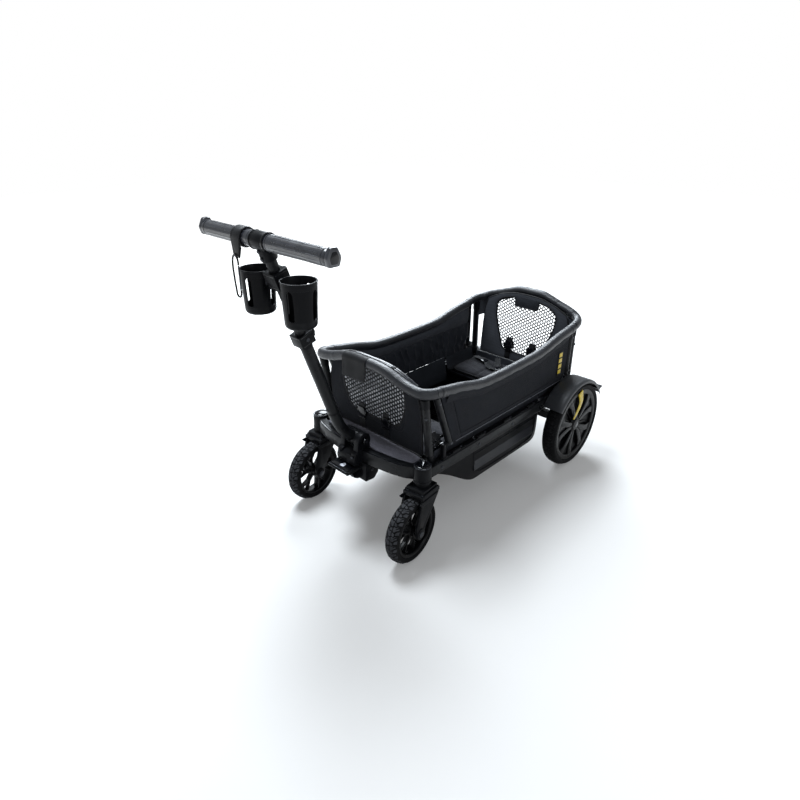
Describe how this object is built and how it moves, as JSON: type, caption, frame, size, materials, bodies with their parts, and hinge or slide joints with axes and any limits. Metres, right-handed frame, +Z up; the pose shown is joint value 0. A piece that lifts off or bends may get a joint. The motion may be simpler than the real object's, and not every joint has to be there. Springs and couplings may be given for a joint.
{
  "type": "kids pull wagon",
  "caption": "Folding kids pull wagon with padded tub, footwell, swivel front casters, large rear wheels, fenders and a telescoping T-handle with cup holders.",
  "frame": {"origin": "on the ground under the centre of the wagon's bounding box", "axes": "+Z up, +X to the right across the wagon, handle end at -Y, large rear wheels at +Y"},
  "size_m": [0.628, 1.249, 0.9566],
  "materials": {
    "frame_metal": "black powder coat, satin",
    "black_steel": "black, satin",
    "black_plastic": "moulded black nylon, fine grain",
    "wheel_plastic": "moulded black nylon, semi-gloss",
    "gloss_plastic": "polished black dome",
    "rail_cover": "soft-touch charcoal cover",
    "wall_fabric": "charcoal woven polyester",
    "seat_fabric": "grey woven polyester, padded",
    "tyre_rubber": "dark grey solid rubber, block tread",
    "grip_rubber": "ribbed soft rubber, slight sheen",
    "mesh_fabric": "open diamond mesh",
    "webbing": "woven harness webbing",
    "yellow_accent": "yellow moulded insert"
  },
  "bodies": {
    "chassis": {"chassis_rail_left": "frame_metal", "chassis_rail_right": "frame_metal", "front_crossbeam": "frame_metal", "rear_crossbeam": "frame_metal", "rear_axle_beam": "frame_metal", "caster_socket_left": "black_plastic", "caster_socket_right": "black_plastic", "caster_cap_left": "gloss_plastic", "caster_cap_right": "gloss_plastic", "handle_bracket": "black_plastic", "front_deck": "black_plastic", "rear_deck": "black_plastic", "footwell": "black_plastic", "front_seat_pad": "seat_fabric", "rear_seat_pad": "seat_fabric", "fender_left": "black_plastic", "fender_right": "black_plastic", "front_hoop": "rail_cover", "rear_hoop": "rail_cover", "wall_hinge_left": "black_plastic", "wall_hinge_right": "black_plastic"},
    "front_panel": {"front_panel": "wall_fabric", "front_panel_bar": "rail_cover"},
    "rear_panel": {"rear_panel": "wall_fabric"},
    "side_wall_left": {"side_frame_left": "rail_cover", "side_panel_left": "wall_fabric"},
    "side_wall_right": {"side_frame_right": "rail_cover", "side_panel_right": "wall_fabric"},
    "handle": {"handle_hub": "black_plastic", "handle_outer_tube": "frame_metal", "telescope_collar": "black_plastic"},
    "release_button": {"handle_release_button": "black_plastic"},
    "telescope_button": {"telescope_button": "black_plastic"},
    "handle_top": {"handle_inner_tube": "frame_metal", "handle_head": "black_plastic", "handle_crossbar": "frame_metal", "grip_left": "grip_rubber", "grip_right": "grip_rubber", "cup_bracket": "black_plastic", "cup_holder_left": "black_plastic", "cup_holder_right": "black_plastic"},
    "wrist_strap": {"wrist_strap": "grip_rubber"},
    "carabiner": {"carabiner": "black_steel"},
    "carabiner_gate": {"carabiner_gate": "black_steel"},
    "brake_pedal": {"brake_pedal": "black_plastic"},
    "brake_pin_left": {"brake_pin_left": "black_steel"},
    "brake_pin_right": {"brake_pin_right": "black_steel"},
    "caster_left": {"caster_fork_left": "black_plastic", "front_axle_left": "black_steel"},
    "caster_right": {"caster_fork_right": "black_plastic", "front_axle_right": "black_steel"},
    "front_wheel_left": {"front_tyre_left": "tyre_rubber", "front_rim_left": "wheel_plastic"},
    "front_wheel_right": {"front_tyre_right": "tyre_rubber", "front_rim_right": "wheel_plastic"},
    "rear_wheel_left": {"rear_tyre_left": "tyre_rubber", "rear_rim_left": "wheel_plastic"},
    "rear_wheel_right": {"rear_tyre_right": "tyre_rubber", "rear_rim_right": "wheel_plastic"}
  },
  "joints": [
    {"name": "handle_pivot", "type": "hinge", "parent": "chassis", "child": "handle", "pos_m": [0, -0.3345, 0.318], "axis": [1, 0, 0], "range_deg": [-15, 60]},
    {"name": "handle_telescope", "type": "slide", "parent": "handle", "child": "handle_top", "axis": [0, -0.3379, 0.9412], "range_m": [-0.12, 0.06]},
    {"name": "release_button_press", "type": "slide", "parent": "chassis", "child": "release_button", "axis": [-1, 0, 0], "range_m": [0, 0.005], "stiffness_N_per_m": 600},
    {"name": "telescope_button_press", "type": "slide", "parent": "handle", "child": "telescope_button", "axis": [0, -0.9412, -0.3379], "range_m": [0, 0.003], "stiffness_N_per_m": 600},
    {"name": "front_panel_fold", "type": "hinge", "parent": "chassis", "child": "front_panel", "pos_m": [0, -0.2505, 0.302], "axis": [-1, 0, 0], "range_deg": [0, 92]},
    {"name": "rear_panel_fold", "type": "hinge", "parent": "chassis", "child": "rear_panel", "pos_m": [0, 0.5275, 0.302], "axis": [1, 0, 0], "range_deg": [0, 94]},
    {"name": "side_wall_left_fold", "type": "hinge", "parent": "chassis", "child": "side_wall_left", "pos_m": [-0.225, 0, 0.322], "axis": [0, 1, 0], "range_deg": [0, 82]},
    {"name": "side_wall_right_fold", "type": "hinge", "parent": "chassis", "child": "side_wall_right", "pos_m": [0.225, 0, 0.322], "axis": [0, -1, 0], "range_deg": [0, 82]},
    {"name": "brake_pedal_press", "type": "hinge", "parent": "chassis", "child": "brake_pedal", "pos_m": [0, -0.3565, 0.237], "axis": [1, 0, 0], "range_deg": [0, 14]},
    {"name": "brake_pin_left_slide", "type": "slide", "parent": "chassis", "child": "brake_pin_left", "axis": [-1, 0, 0], "range_m": [0, 0.01]},
    {"name": "brake_pin_right_slide", "type": "slide", "parent": "chassis", "child": "brake_pin_right", "axis": [1, 0, 0], "range_m": [0, 0.01]},
    {"name": "caster_left_swivel", "type": "hinge", "parent": "chassis", "child": "caster_left", "pos_m": [-0.224, -0.2845, 0.25], "axis": [0, 0, 1], "continuous": true},
    {"name": "front_wheel_left_spin", "type": "hinge", "parent": "caster_left", "child": "front_wheel_left", "pos_m": [-0.21903, -0.33425, 0.101], "axis": [0.9951, 0.0993, 0], "continuous": true},
    {"name": "rear_wheel_left_spin", "type": "hinge", "parent": "chassis", "child": "rear_wheel_left", "pos_m": [-0.284, 0.4655, 0.159], "axis": [1, 0, 0], "continuous": true},
    {"name": "caster_right_swivel", "type": "hinge", "parent": "chassis", "child": "caster_right", "pos_m": [0.224, -0.2845, 0.25], "axis": [0, 0, 1], "continuous": true},
    {"name": "front_wheel_right_spin", "type": "hinge", "parent": "caster_right", "child": "front_wheel_right", "pos_m": [0.22897, -0.33425, 0.101], "axis": [0.9951, 0.0993, 0], "continuous": true},
    {"name": "rear_wheel_right_spin", "type": "hinge", "parent": "chassis", "child": "rear_wheel_right", "pos_m": [0.284, 0.4655, 0.159], "axis": [1, 0, 0], "continuous": true},
    {"name": "wrist_strap_swing", "type": "hinge", "parent": "handle_top", "child": "wrist_strap", "pos_m": [-0.078, -0.59404, 0.93235], "axis": [1, 0, 0], "range_deg": [-75, 0]},
    {"name": "carabiner_swing", "type": "hinge", "parent": "wrist_strap", "child": "carabiner", "pos_m": [-0.078, -0.62194, 0.89285], "axis": [1, 0, 0], "range_deg": [-40, 0]},
    {"name": "carabiner_gate_open", "type": "hinge", "parent": "carabiner", "child": "carabiner_gate", "pos_m": [-0.0665, -0.62194, 0.81185], "axis": [0, -1, 0], "range_deg": [0, 20], "stiffness_Nm_per_rad": 0.05}
  ],
  "couplings": [
    {"joint": "brake_pin_left_slide", "follows": "brake_pedal_press", "m_per_rad": 0.04},
    {"joint": "brake_pin_right_slide", "follows": "brake_pedal_press", "m_per_rad": 0.04}
  ]
}
